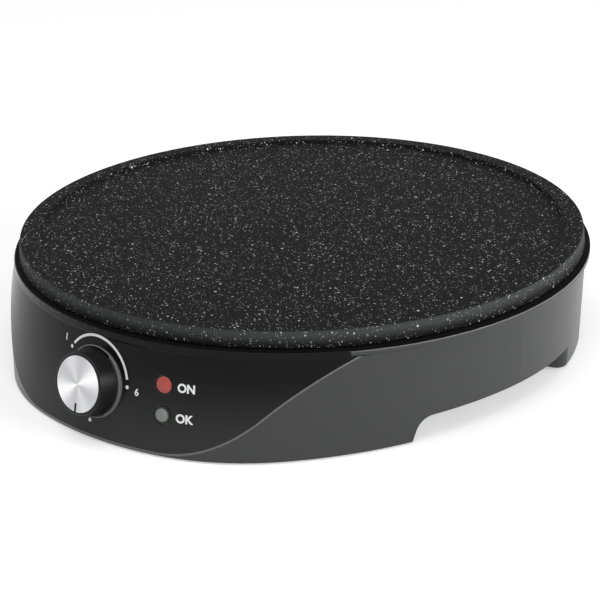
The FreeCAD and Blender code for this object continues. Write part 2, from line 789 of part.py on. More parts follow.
def fuse_clip():
    """Spring strap that holds the fuse against the reflector."""
    x, y = fuse_place
    top = reflector_flange_top - reflector_sheet - reflector_depth
    z = fuse_height()
    inner = fuse_radius + seat_gap
    outer = inner + fuse_clip_sheet
    strap = along_y(outer, y - fuse_clip_width / 2, y + fuse_clip_width / 2, x, z)
    cheeks = block(x - outer, x + outer, y - fuse_clip_width / 2, y + fuse_clip_width / 2, z, top)
    flanges = block(x - outer - fuse_clip_flange, x + outer + fuse_clip_flange, y - fuse_clip_width / 2,
                    y + fuse_clip_width / 2, top - fuse_clip_sheet, top)
    strap = strap.fuse(cheeks).fuse(flanges)
    hollow = along_y(inner, y - fuse_clip_width, y + fuse_clip_width, x, z)
    hollow = hollow.fuse(block(x - inner, x + inner, y - fuse_clip_width, y + fuse_clip_width, z, top + 1))
    strap = strap.cut(hollow)
    above = block(x - 50, x + 50, y - 50, y + 50, top, top + 20)
    return strap.cut(above)


def washers():
    group = []
    for azimuth in plate_screw_angles:
        ring = disc_at(washer_radius, reflector_flange_top, boss_floor, boss_circle, azimuth)
        hole = disc_at(plate_screw_radius + hole_clearance, reflector_flange_top - 1, boss_floor + 1,
                       boss_circle, azimuth)
        group.append(ring.cut(hole))
    return Part.makeCompound(group)


def build():
    parts["griddle_plate"] = griddle_plate()
    parts["heating_element"], element_foot = heating_element()
    parts["element_beads"], parts["element_pins"] = element_ends(element_foot)
    parts["heat_reflector"] = heat_reflector()
    parts["insulating_washers"] = washers()
    parts["base_housing"] = base_housing()
    parts["bottom_cover"] = bottom_cover()
    for name, place in pad_places().items():
        parts[name] = turned([(0, 0), (pad_radius, 0), (pad_radius, pad_height), (0, pad_height)], [0, 0.4, 0, 0])
        parts[name].translate(place)
    parts["knob"] = knob()
    parts["knob_cap"] = knob_cap()
    parts["thermostat_spindle"] = thermostat_spindle()
    parts["thermostat_bracket"] = thermostat_bracket()
    parts["bracket_screws"] = bracket_screws()
    parts["thermostat_body"] = thermostat_body()
    parts["thermostat_terminals"] = thermostat_terminals()
    for name, (azimuth, height) in lamps.items():
        parts[name + "_lamp_lens"] = lamp_lens(azimuth, height)
        parts[name + "_lamp_bulb"] = lamp_bulb(azimuth, height)
    parts["cord_gland"] = cord_gland()
    parts["cord_clamp"] = cord_clamp()
    parts["clamp_screws"] = clamp_screws()
    parts["terminal_block"] = terminal_block()
    parts["terminal_screws"] = terminal_screws()
    parts["thermal_fuse"] = thermal_fuse()
    parts["fuse_clip"] = fuse_clip()
    parts["plate_screws"] = screws_at(plate_screw_angles, boss_circle, plate_screw_radius, plate_screw_head,
                                      boss_floor - deck_floor + plate_screw_grip, deck_floor)
    parts["cover_screws"] = screws_at(cover_screw_angles, post_circle, cover_screw_radius, cover_screw_head,
                                      cover_thickness + cover_screw_grip - 0.5, cover_floor)


def export():
    """Move the origin to the middle of the box's bottom and write one file per piece."""
    os.makedirs("parts", exist_ok=True)
    box = Part.makeCompound(list(parts.values())).optimalBoundingBox(True, False)
    centre = Vector(-box.Center.x, -box.Center.y, -box.ZMin)
    for name, shape in parts.items():
        shape.translate(centre)
        shape.exportStep(os.path.join("parts", name + ".step"))
    knob_point = Vector(0, -panel_radius(knob_height), knob_height) + centre
    print("plate axis", centre, "knob on panel", knob_point, "box", box.XLength, box.YLength, box.ZLength)


build()
export()
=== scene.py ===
import json
import math

import bmesh
import bpy
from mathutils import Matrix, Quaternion, Vector


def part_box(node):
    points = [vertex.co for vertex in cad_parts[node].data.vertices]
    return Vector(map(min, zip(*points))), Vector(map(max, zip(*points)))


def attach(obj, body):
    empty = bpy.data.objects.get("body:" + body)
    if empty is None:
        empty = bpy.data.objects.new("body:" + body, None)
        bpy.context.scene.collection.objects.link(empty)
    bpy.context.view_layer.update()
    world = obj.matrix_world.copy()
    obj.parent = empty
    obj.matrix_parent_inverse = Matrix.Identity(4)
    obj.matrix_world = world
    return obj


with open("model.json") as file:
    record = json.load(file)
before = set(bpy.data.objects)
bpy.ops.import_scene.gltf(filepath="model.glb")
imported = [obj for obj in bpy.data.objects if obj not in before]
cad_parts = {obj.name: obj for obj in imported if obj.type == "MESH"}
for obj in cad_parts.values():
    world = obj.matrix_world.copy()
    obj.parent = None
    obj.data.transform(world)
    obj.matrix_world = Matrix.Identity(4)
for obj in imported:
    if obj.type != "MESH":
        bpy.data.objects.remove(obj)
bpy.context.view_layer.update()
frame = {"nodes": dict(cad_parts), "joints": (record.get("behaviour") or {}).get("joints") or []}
nodes = frame["nodes"]

# Camera: it looks over the right side of the control panel with a long lens, a little above the
# plate. Its place is counted from the middle of the plate's top, and it leans by a degree and a half.
plate_low, plate_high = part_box("griddle_plate")
plate_axis = Vector(((plate_low.x + plate_high.x) / 2, (plate_low.y + plate_high.y) / 2, 0))
camera_azimuth = math.radians(40.21)
camera_elevation = math.radians(20.11)
camera_distance = 1.0241
camera_lean = math.radians(-1.60)
camera_aim = plate_axis + Vector((-0.0013, -0.0014, 0.0181))
camera = bpy.data.objects.new("camera", bpy.data.cameras.new("camera"))
bpy.context.scene.collection.objects.link(camera)
away = Vector((math.sin(camera_azimuth) * math.cos(camera_elevation),
               -math.cos(camera_azimuth) * math.cos(camera_elevation), math.sin(camera_elevation)))
camera.location = plate_axis + Vector((0, 0, plate_high.z)) + camera_distance * away
camera.rotation_mode = "QUATERNION"
looking = (camera_aim - camera.location).to_track_quat("-Z", "Y")
camera.rotation_quaternion = looking @ Quaternion((0, 0, 1), camera_lean)
camera.data.sensor_width = 36.0
camera.data.lens = 114.45
camera.data.clip_start = 0.05
camera.data.clip_end = 20.0
bpy.context.scene.camera = camera
bpy.context.scene.view_settings.view_transform = "Standard"


# Room: a white sweep that the camera and every gloss see as plain white, while the light that it
# sheds on the object stays level. One soft lamp stands to the right, one overhead, one to the left.
def add_node(tree, kind, inputs=None, links=None, **settings):
    """One shader node with its settings, socket values and incoming links."""
    made = tree.nodes.new(kind)
    for key, value in settings.items():
        setattr(made, key, value)
    for key, value in (inputs or {}).items():
        made.inputs[key].default_value = value
    for key, source in (links or {}).items():
        tree.links.new(source, made.inputs[key])
    return made


def seen_as_white(tree):
    """1 for rays that go straight to the eye, off a gloss or through a lens, and 0 for the rest."""
    ray = add_node(tree, "ShaderNodeLightPath")
    gloss = add_node(tree, "ShaderNodeMath", operation="MAXIMUM",
                     links={0: ray.outputs["Is Camera Ray"], 1: ray.outputs["Is Glossy Ray"]})
    lens = add_node(tree, "ShaderNodeMath", operation="MAXIMUM",
                    links={0: gloss.outputs[0], 1: ray.outputs["Is Transmission Ray"]})
    return lens.outputs[0]


room_light = 0.45
white_strength = 1.0
white_sweep = bpy.data.worlds.new("white_sweep")
bpy.context.scene.world = white_sweep
white_sweep.use_nodes = True
tree = white_sweep.node_tree
tree.nodes.clear()
level = add_node(tree, "ShaderNodeMapRange", {"To Min": room_light, "To Max": white_strength},
                 {"Value": seen_as_white(tree)})
surround = add_node(tree, "ShaderNodeBackground", {"Color": (1, 1, 1, 1)}, {"Strength": level.outputs[0]})
add_node(tree, "ShaderNodeOutputWorld", links={"Surface": surround.outputs[0]})

floor_reach = 6.0
paper_white = (0.86, 0.86, 0.86, 1)
paper_lift = 0.42
ground = bmesh.new()
bmesh.ops.create_grid(ground, x_segments=1, y_segments=1, size=floor_reach)
floor_mesh = bpy.data.meshes.new("floor")
ground.to_mesh(floor_mesh)
ground.free()
floor = bpy.data.objects.new("floor", floor_mesh)
bpy.context.scene.collection.objects.link(floor)
paper = bpy.data.materials.new("white_paper")
paper.use_nodes = True
tree = paper.node_tree
sheet = tree.nodes["Principled BSDF"]
sheet.inputs["Base Color"].default_value = paper_white
sheet.inputs["Roughness"].default_value = 0.9
sheet.inputs["Specular IOR Level"].default_value = 0.0
sheet.inputs["Emission Color"].default_value = (1, 1, 1, 1)
lift = add_node(tree, "ShaderNodeMath", {1: paper_lift}, {0: seen_as_white(tree)}, operation="MULTIPLY")
tree.links.new(lift.outputs[0], sheet.inputs["Emission Strength"])
floor.data.materials.append(paper)

soft_lamps = (("right_lamp", 100, 16, 1.5, 1.0, 0.7, 15.0), ("top_lamp", 20, 70, 1.8, 1.2, 1.2, 8.0),
              ("left_lamp", -70, 25, 1.8, 0.8, 0.8, 1.5))
for name, azimuth, elevation, distance, width, height, power in soft_lamps:
    turn, rise = math.radians(azimuth), math.radians(elevation)
    away = Vector((math.sin(turn) * math.cos(rise), -math.cos(turn) * math.cos(rise), math.sin(rise)))
    lamp = bpy.data.objects.new(name, bpy.data.lights.new(name, "AREA"))
    lamp.data.shape = "RECTANGLE"
    lamp.data.size, lamp.data.size_y, lamp.data.energy = width, height, power
    lamp.location = plate_axis + away * distance
    lamp.rotation_mode = "QUATERNION"
    lamp.rotation_quaternion = (-away).to_track_quat("-Z", "Y")
    bpy.context.scene.collection.objects.link(lamp)


# Cooking plate: cast aluminium, turned flat, with a raised rim. It is sprayed with a near-black
# stone-effect coating that holds pale specks of several sizes, and baked.
def new_group(name, floats, outputs):
    """Empty shared effect with a place input, named numbers and named outputs."""
    group = bpy.data.node_groups.new(name, "ShaderNodeTree")
    group.interface.new_socket("Place", in_out="INPUT", socket_type="NodeSocketVector")
    for socket_name, value in floats.items():
        socket = group.interface.new_socket(socket_name, in_out="INPUT", socket_type="NodeSocketFloat")
        socket.default_value = value
    for socket_name in outputs:
        group.interface.new_socket(socket_name, in_out="OUTPUT", socket_type="NodeSocketFloat")
    return group, add_node(group, "NodeGroupInput"), add_node(group, "NodeGroupOutput")


grain, given, result = new_group("grain_and_mottle", {"Grain Scale": 2500.0, "Mottle Scale": 35.0},
                                 ("Grain", "Mottle"))
for effect, detail in (("Grain", 2.0), ("Mottle", 4.0)):
    noise = add_node(grain, "ShaderNodeTexNoise", {"Detail": detail},
                     {"Vector": given.outputs["Place"], "Scale": given.outputs[effect + " Scale"]})
    grain.links.new(noise.outputs[0], result.inputs[effect])

specks, given, result = new_group("sprayed_specks", {"Scale": 700.0, "Share": 0.3, "Size": 0.22, "Dimmest": 0.3},
                                  ("Speck",))
cells = add_node(specks, "ShaderNodeTexVoronoi", links={"Vector": given.outputs["Place"],
                                                        "Scale": given.outputs["Scale"]})
lot = add_node(specks, "ShaderNodeSeparateColor", links={0: cells.outputs["Color"]})
rest_share = add_node(specks, "ShaderNodeMath", {0: 1.0}, {1: given.outputs["Share"]}, operation="SUBTRACT")
reach = add_node(specks, "ShaderNodeMapRange", {"From Max": 1.0, "To Min": 0.0},
                 {"Value": lot.outputs[0], "From Min": rest_share.outputs[0], "To Max": given.outputs["Size"]})
within = add_node(specks, "ShaderNodeMath", links={0: reach.outputs[0], 1: cells.outputs["Distance"]},
                  operation="SUBTRACT")
soft_edge = add_node(specks, "ShaderNodeMapRange", {"From Min": 0.0, "From Max": 0.05}, {"Value": within.outputs[0]})
pale = add_node(specks, "ShaderNodeMapRange", {"To Max": 1.0},
                {"Value": lot.outputs[1], "To Min": given.outputs["Dimmest"]})
speck = add_node(specks, "ShaderNodeMath", links={0: soft_edge.outputs[0], 1: pale.outputs[0]},
                 operation="MULTIPLY")
specks.links.new(speck.outputs[0], result.inputs["Speck"])

reach_from_axis, given, result = new_group("reach_from_axis", {}, ("Reach",))
from_axis = add_node(reach_from_axis, "ShaderNodeVectorMath", {1: (plate_axis.x, plate_axis.y, 0)},
                     {0: given.outputs["Place"]}, operation="SUBTRACT")
flat = add_node(reach_from_axis, "ShaderNodeVectorMath", {1: (1, 1, 0)}, {0: from_axis.outputs[0]},
                operation="MULTIPLY")
length = add_node(reach_from_axis, "ShaderNodeVectorMath", links={0: flat.outputs[0]}, operation="LENGTH")
reach_from_axis.links.new(length.outputs["Value"], result.inputs["Reach"])

coating_dark = (0.0070, 0.0071, 0.0073, 1)
coating_pale = (0.0128, 0.0130, 0.0132, 1)
# Painted light: the skirt's colour is much lighter than the top's, a painted sheen near the skirt's top edge that
# fades to painted shade towards its foot.
skirt_painted_sheen = (0.064, 0.065, 0.066, 1)
skirt_painted_shade = (0.006, 0.006, 0.006, 1)
rim_edge_inner, rim_edge_outer = 0.1492, 0.1502
skirt_low, skirt_high = 0.0560, 0.0640
skirt_speck_share = 0.6
speck_pale = (0.78, 0.78, 0.76, 1)
coating_sheen = 0.016
ragged_by = 0.0005
speck_layers = ((1350.0, 0.40, 0.38, 0.05), (780.0, 0.34, 0.37, 0.07),
                (440.0, 0.25, 0.30, 0.15), (180.0, 0.22, 0.16, 0.50))
coating = bpy.data.materials.new("stone_coating")
coating.use_nodes = True
tree = coating.node_tree
shader = tree.nodes["Principled BSDF"]
shader.inputs["Specular IOR Level"].default_value = coating_sheen
place = add_node(tree, "ShaderNodeTexCoord")
texture = add_node(tree, "ShaderNodeGroup", node_tree=grain)
texture.inputs["Grain Scale"].default_value = 1300.0
texture.inputs["Mottle Scale"].default_value = 700.0
tree.links.new(place.outputs["Object"], texture.inputs["Place"])
ragged = add_node(tree, "ShaderNodeTexNoise", {"Scale": 1800.0, "Detail": 2.0}, {"Vector": place.outputs["Object"]})
wander = add_node(tree, "ShaderNodeVectorMath", {1: (ragged_by, ragged_by, ragged_by)},
                  {0: ragged.outputs["Color"], 2: place.outputs["Object"]}, operation="MULTIPLY_ADD")
most = None
for scale, share, size, dimmest in speck_layers:
    layer = add_node(tree, "ShaderNodeGroup", node_tree=specks)
    for key, value in (("Scale", scale), ("Share", share), ("Size", size), ("Dimmest", dimmest)):
        layer.inputs[key].default_value = value
    tree.links.new(wander.outputs[0], layer.inputs["Place"])
    if most is None:
        most = layer.outputs[0]
    else:
        most = add_node(tree, "ShaderNodeMath", links={0: most, 1: layer.outputs[0]}, operation="MAXIMUM").outputs[0]
ground_colour = add_node(tree, "ShaderNodeMix", {"A": coating_dark, "B": coating_pale},
                         {"Factor": texture.outputs["Mottle"]}, data_type="RGBA")
reach = add_node(tree, "ShaderNodeGroup", node_tree=reach_from_axis)
tree.links.new(place.outputs["Object"], reach.inputs["Place"])
on_skirt = add_node(tree, "ShaderNodeMapRange", {"From Min": rim_edge_inner, "From Max": rim_edge_outer},
                    {"Value": reach.outputs["Reach"]})
plate_height = add_node(tree, "ShaderNodeSeparateXYZ", links={0: place.outputs["Object"]})
# Painted sheen at the top of the skirt, fading by height to painted shade at its foot.
skirt_painted_light_fade = add_node(tree, "ShaderNodeMapRange", {"From Min": skirt_low, "From Max": skirt_high},
                      {"Value": plate_height.outputs["Z"]}, interpolation_type="SMOOTHSTEP")
skirt_painted_colour = add_node(tree, "ShaderNodeMix", {"A": skirt_painted_shade, "B": skirt_painted_sheen}, {"Factor": skirt_painted_light_fade.outputs[0]},
                        data_type="RGBA")
stone = add_node(tree, "ShaderNodeMix", links={"Factor": on_skirt.outputs[0], "A": ground_colour.outputs["Result"],
                                               "B": skirt_painted_colour.outputs["Result"]}, data_type="RGBA")
shown = add_node(tree, "ShaderNodeMapRange", {"To Min": 1.0, "To Max": skirt_speck_share},
                 {"Value": on_skirt.outputs[0]})
dimmed = add_node(tree, "ShaderNodeMath", links={0: most, 1: shown.outputs[0]}, operation="MULTIPLY")
specked = add_node(tree, "ShaderNodeMix", {"B": speck_pale},
                   {"Factor": dimmed.outputs[0], "A": stone.outputs["Result"]}, data_type="RGBA")
tree.links.new(specked.outputs["Result"], shader.inputs["Base Color"])
rough = add_node(tree, "ShaderNodeMapRange", {"To Min": 0.48, "To Max": 0.62}, {"Value": texture.outputs["Mottle"]})
tree.links.new(rough.outputs[0], shader.inputs["Roughness"])
pebble = add_node(tree, "ShaderNodeBump", {"Strength": 1.0, "Distance": 0.00004}, {"Height": texture.outputs["Grain"]})
tree.links.new(pebble.outputs[0], shader.inputs["Normal"])


def dress(node, material):
    """Give a carried-over piece its finish."""
    nodes[node].data.materials.clear()
    nodes[node].data.materials.append(material)


dress("griddle_plate", coating)


# Base: one moulding in black heat-proof plastic. The mould's face is polished over the conical control panel and satin
# over the walls, and the sloping ledge under the plate is dull. The panel is painted lighter towards its foot as a
# painted reflection and darker towards its top as painted shade, the ledge is painted near black as painted shade
# under the plate, and the crease where the panel ends and the shoulder's edge carry painted highlights.
knob_turn = frame["joints"][0]
panel_point = Vector(knob_turn["pos_m"])
panel_normal = -Vector(knob_turn["axis"])
panel_tilt = math.atan2(panel_normal.z, -panel_normal.y)
panel_reach = plate_axis.y - panel_point.y
panel_end = math.radians(50.0)
shoulder_foot = 0.0517
panel_shade_foot, panel_shade_head = 0.004, 0.046
panel_painted_reflection, panel_painted_shade = (0.0350, 0.0352, 0.0360, 1), (0.0040, 0.0041, 0.0043, 1)
wall_dark, wall_pale = (0.0230, 0.0235, 0.0240, 1), (0.0290, 0.0295, 0.0300, 1)
painted_highlight_grey = (0.1350, 0.1350, 0.1350, 1)
crease_near, crease_far = 0.00016, 0.00030
shoulder_edge_low, shoulder_edge_high = 0.0537, 0.0541
ledge_dark, ledge_pale = (0.0040, 0.0040, 0.0040, 1), (0.0060, 0.0060, 0.0060, 1)
ledge_foot, ledge_reach, ledge_slope = 0.0525, 0.1536, 0.08
panel_slack, panel_flatness = 0.00013, 0.999


def black_plastic(name, gloss, roughness, uneven):
    """Black moulded plastic before its colour: a fine skin, and a gloss that wanders slowly."""
    material = bpy.data.materials.new(name)
    material.use_nodes = True
    tree = material.node_tree
    shader = tree.nodes["Principled BSDF"]
    shader.inputs["Specular IOR Level"].default_value = gloss
    place = add_node(tree, "ShaderNodeTexCoord")
    texture = add_node(tree, "ShaderNodeGroup", node_tree=grain)
    texture.inputs["Grain Scale"].default_value = 3200.0
    texture.inputs["Mottle Scale"].default_value = 22.0
    tree.links.new(place.outputs["Object"], texture.inputs["Place"])
    rough = add_node(tree, "ShaderNodeMapRange", {"To Min": roughness - uneven, "To Max": roughness + uneven},
                     {"Value": texture.outputs["Mottle"]})
    tree.links.new(rough.outputs[0], shader.inputs["Roughness"])
    skin = add_node(tree, "ShaderNodeBump", {"Strength": 1.0, "Distance": 0.000012},
                    {"Height": texture.outputs["Grain"]})
    tree.links.new(skin.outputs[0], shader.inputs["Normal"])
    split = add_node(tree, "ShaderNodeSeparateXYZ", links={0: place.outputs["Object"]})
    return material, tree, shader, place, split, texture


polished_panel, tree, shader, place, split, texture = black_plastic("polished_panel", 0.13, 0.17, 0.03)
# Painted light: the panel's colour is painted lighter towards its foot as a painted reflection and near black towards
# its top as painted shade.
panel_painted_light_share = add_node(tree, "ShaderNodeMapRange", {"From Min": panel_shade_foot, "From Max": panel_shade_head},
                        {"Value": split.outputs["Z"]}, interpolation_type="SMOOTHSTEP")
panel_painted_gradient = add_node(tree, "ShaderNodeMix", {"A": panel_painted_reflection, "B": panel_painted_shade},
                      {"Factor": panel_painted_light_share.outputs[0]}, data_type="RGBA")
tree.links.new(panel_painted_gradient.outputs["Result"], shader.inputs["Base Color"])

satin_wall, tree, shader, place, split, texture = black_plastic("satin_wall", 0.50, 0.34, 0.04)
reach = add_node(tree, "ShaderNodeGroup", node_tree=reach_from_axis)
tree.links.new(place.outputs["Object"], reach.inputs["Place"])
cone = add_node(tree, "ShaderNodeMath",
                {1: -math.tan(panel_tilt), 2: panel_reach + panel_point.z * math.tan(panel_tilt)},
                {0: split.outputs["Z"]}, operation="MULTIPLY_ADD")
behind = add_node(tree, "ShaderNodeMath", links={0: cone.outputs[0], 1: reach.outputs["Reach"]}, operation="SUBTRACT")
# Painted highlight: a thin light grey line is painted along the crease where the panel ends and along the shoulder's
# edge.
crease = add_node(tree, "ShaderNodeMapRange",
                  {"From Min": crease_near, "From Max": crease_far, "To Min": 1.0, "To Max": 0.0},
                  {"Value": behind.outputs[0]})
under_shoulder = add_node(tree, "ShaderNodeMath", {1: shoulder_foot}, {0: split.outputs["Z"]}, operation="LESS_THAN")
crease_painted_highlight = add_node(tree, "ShaderNodeMath", links={0: crease.outputs[0], 1: under_shoulder.outputs[0]},
                       operation="MULTIPLY")
shoulder_edge = add_node(tree, "ShaderNodeMapRange", {"From Min": shoulder_edge_low, "From Max": shoulder_edge_high},
                         {"Value": split.outputs["Z"]})
wall_tone = add_node(tree, "ShaderNodeMix", {"A": wall_dark, "B": wall_pale}, {"Factor": texture.outputs["Mottle"]},
                     data_type="RGBA")
painted_highlight_mask = add_node(tree, "ShaderNodeMath", links={0: crease_painted_highlight.outputs[0], 1: shoulder_edge.outputs[0]},
                      operation="MAXIMUM")
wall_with_painted_highlights = add_node(tree, "ShaderNodeMix", {"B": painted_highlight_grey},
                       {"Factor": painted_highlight_mask.outputs[0], "A": wall_tone.outputs["Result"]}, data_type="RGBA")
tree.links.new(wall_with_painted_highlights.outputs["Result"], shader.inputs["Base Color"])

# Painted shade: the ledge is painted near black, much darker than the walls of the same plastic, as the shade under
# the plate.
dull_ledge_painted_shade, tree, shader, place, split, texture = black_plastic("dull_ledge_painted_shade", 0.03, 0.75, 0.05)
painted_shade_ledge_tone = add_node(tree, "ShaderNodeMix", {"A": ledge_dark, "B": ledge_pale}, {"Factor": texture.outputs["Grain"]},
                      data_type="RGBA")
tree.links.new(painted_shade_ledge_tone.outputs["Result"], shader.inputs["Base Color"])

housing = nodes["base_housing"].data
housing.materials.clear()
for finish in (satin_wall, polished_panel, dull_ledge_painted_shade):
    housing.materials.append(finish)
for face in housing.polygons:
    middle = face.center - plate_axis
    turn = math.atan2(middle.x, -middle.y)
    face_reach = math.hypot(middle.x, middle.y)
    slope = Vector((math.sin(turn) * math.cos(panel_tilt), -math.cos(turn) * math.cos(panel_tilt),
                    math.sin(panel_tilt)))
    cone_reach = panel_reach + (panel_point.z - middle.z) * math.tan(panel_tilt)
    on_cone = cone_reach - face_reach < panel_slack and face.normal.dot(slope) > panel_flatness
    # The ledge's faces under the plate get the painted-shade finish.
    if middle.z > ledge_foot and face.normal.z > ledge_slope and face_reach < ledge_reach:
        face.material_index = 2
    elif on_cone and abs(turn) < panel_end:
        face.material_index = 1
    else:
        face.material_index = 0


# Brow of the panel: over the front, the polished face runs on across the foot of the shoulder and
# turns over into the ledge, with no groove between. It is one skin with the moulding.
brow_end = math.radians(48.3)
brow_steps = 160
brow_profile = ((0.05090, 0.153930), (0.05160, 0.153815), (0.05210, 0.153755), (0.05260, 0.153725),
                (0.05340, 0.153705), (0.05415, 0.153700), (0.05440, 0.153670), (0.05460, 0.153580),
                (0.05474, 0.153440), (0.05482, 0.153220), (0.05470, 0.152900), (0.05170, 0.152900),
                (0.05100, 0.153500))
strip = bmesh.new()
outline = strip.faces.new([strip.verts.new((plate_axis.x - reach * math.sin(brow_end),
                                            plate_axis.y - reach * math.cos(brow_end), height))
                           for height, reach in brow_profile])
bmesh.ops.spin(strip, geom=[outline, *outline.edges, *outline.verts], cent=plate_axis, axis=(0, 0, 1),
               angle=2 * brow_end, steps=brow_steps)
bmesh.ops.recalc_face_normals(strip, faces=strip.faces[:])
for face in strip.faces:
    face.smooth = len(face.verts) == 4 and face.normal.z > -0.5
brow_mesh = bpy.data.meshes.new("panel_brow")
strip.to_mesh(brow_mesh)
strip.free()
panel_brow = bpy.data.objects.new("panel_brow", brow_mesh)
bpy.context.scene.collection.objects.link(panel_brow)
brow_mesh.materials.append(polished_panel)
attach(panel_brow, "base")


# Panel print: the heat scale, its dots, the numbers at its ends and the words beside the lamps,
# all in white ink, pad-printed on the conical panel in a layer that can just be felt.
ink_thickness = 0.00005
scale_centre_up = 0.00150
scale_centre_across = -0.0003
scale_radius = 0.0212
scale_stroke = 0.0013
scale_start, scale_end = 11.0, 140.5
scale_steps = 64
dot_radius = 0.00095
dot_angles = (147.5, 1.0, 269.5)
ink_dim, ink_bright = (0.88, 0.88, 0.88, 1), (0.98, 0.98, 0.98, 1)
ink_gap = 0.00003


def on_panel(across, up, out):
    """Point on the conical panel, counted from the knob's axis: along the panel, up it and off it."""
    turn = across / panel_reach
    height = panel_point.z + up * math.cos(panel_tilt)
    radius = panel_reach - up * math.sin(panel_tilt)
    normal = Vector((math.sin(turn) * math.cos(panel_tilt), -math.cos(turn) * math.cos(panel_tilt),
                     math.sin(panel_tilt)))
    return Vector((radius * math.sin(turn), plate_axis.y - radius * math.cos(turn), height)) + normal * out


def print_piece(name, drawn):
    """Lay a flat drawing, in metres across and up, on the panel as a printed layer."""
    for vertex in drawn.verts:
        vertex.co = on_panel(vertex.co.x, vertex.co.y, ink_gap + vertex.co.z)
    mesh = bpy.data.meshes.new(name)
    drawn.to_mesh(mesh)
    drawn.free()
    piece = bpy.data.objects.new(name, mesh)
    bpy.context.scene.collection.objects.link(piece)
    mesh.materials.append(ink)
    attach(piece, "base")
    return piece


def thicken(drawn):
    """Give a flat drawing the thickness of the ink."""
    raised = bmesh.ops.extrude_face_region(drawn, geom=drawn.faces[:])
    lifted = [item for item in raised["geom"] if isinstance(item, bmesh.types.BMVert)]
    bmesh.ops.translate(drawn, vec=(0, 0, ink_thickness), verts=lifted)
    bmesh.ops.recalc_face_normals(drawn, faces=drawn.faces[:])


ink = bpy.data.materials.new("white_ink")
ink.use_nodes = True
tree = ink.node_tree
shader = tree.nodes["Principled BSDF"]
shader.inputs["Roughness"].default_value = 0.45
place = add_node(tree, "ShaderNodeTexCoord")
texture = add_node(tree, "ShaderNodeGroup", node_tree=grain)
texture.inputs["Grain Scale"].default_value = 6000.0
tree.links.new(place.outputs["Object"], texture.inputs["Place"])
cover = add_node(tree, "ShaderNodeMix", {"A": ink_dim, "B": ink_bright},
                 {"Factor": texture.outputs["Grain"]}, data_type="RGBA")
tree.links.new(cover.outputs["Result"], shader.inputs["Base Color"])

scale = bmesh.new()
first = math.radians(scale_start)
ends = [scale.verts.new((scale_centre_across + radius * math.cos(first),
                         scale_centre_up + radius * math.sin(first), 0))
        for radius in (scale_radius - scale_stroke / 2, scale_radius + scale_stroke / 2)]
bmesh.ops.spin(scale, geom=[*ends, scale.edges.new(ends)], cent=(scale_centre_across, scale_centre_up, 0),
               axis=(0, 0, 1), angle=math.radians(scale_end - scale_start), steps=scale_steps)
thicken(scale)
print_piece("heat_scale", scale)

dots = bmesh.new()
for angle in dot_angles:
    turn = math.radians(angle)
    disc = bmesh.ops.create_circle(dots, cap_ends=True, segments=24, radius=dot_radius)
    bmesh.ops.translate(dots, verts=disc["verts"], vec=(scale_centre_across + scale_radius * math.cos(turn),
                                                       scale_centre_up + scale_radius * math.sin(turn), 0))
thicken(dots)
print_piece("scale_dots", dots)


def print_words(name, words, size, across, up, weight):
    """Words or numbers with their left edge at a place and their middle at a height."""
    outline = bpy.data.curves.new(name + "_outline", "FONT")
    outline.body = words
    outline.size = size
    outline.offset = weight
    outline.extrude = ink_thickness / 2
    holder = bpy.data.objects.new(name + "_outline", outline)
    bpy.context.scene.collection.objects.link(holder)
    bpy.context.view_layer.update()
    shape = bpy.data.meshes.new_from_object(holder.evaluated_get(bpy.context.evaluated_depsgraph_get()))
    bpy.data.objects.remove(holder)
    drawn = bmesh.new()
    drawn.from_mesh(shape)
    bpy.data.meshes.remove(shape)
    bmesh.ops.remove_doubles(drawn, verts=drawn.verts[:], dist=0.000001)
    bmesh.ops.recalc_face_normals(drawn, faces=drawn.faces[:])
    low = min(vertex.co.y for vertex in drawn.verts)
    high = max(vertex.co.y for vertex in drawn.verts)
    left = min(vertex.co.x for vertex in drawn.verts)
    bmesh.ops.translate(drawn, verts=drawn.verts[:], vec=(across - left, up - (low + high) / 2, ink_thickness / 2))
    return print_piece(name, drawn)


number_size, number_weight = 0.0048, 0.00012
word_size, word_weight = 0.0058, 0.00022
word_gap, word_drop = 0.0075, 0.0002
lamp_places = {"power": (math.radians(14.9), 0.0353), "ready": (math.radians(14.8), 0.02075)}
print_words("scale_low_number", "1", number_size, -0.0235, 0.0165, number_weight)
print_words("scale_high_number", "6", number_size, 0.0255, 0.0006, number_weight)
for lamp, words in (("power", "ON"), ("ready", "OK")):
    turn, height = lamp_places[lamp]
    print_words(lamp + "_word", words, word_size, turn * panel_reach + word_gap,
                (height - panel_point.z) / math.cos(panel_tilt) - word_drop, word_weight)


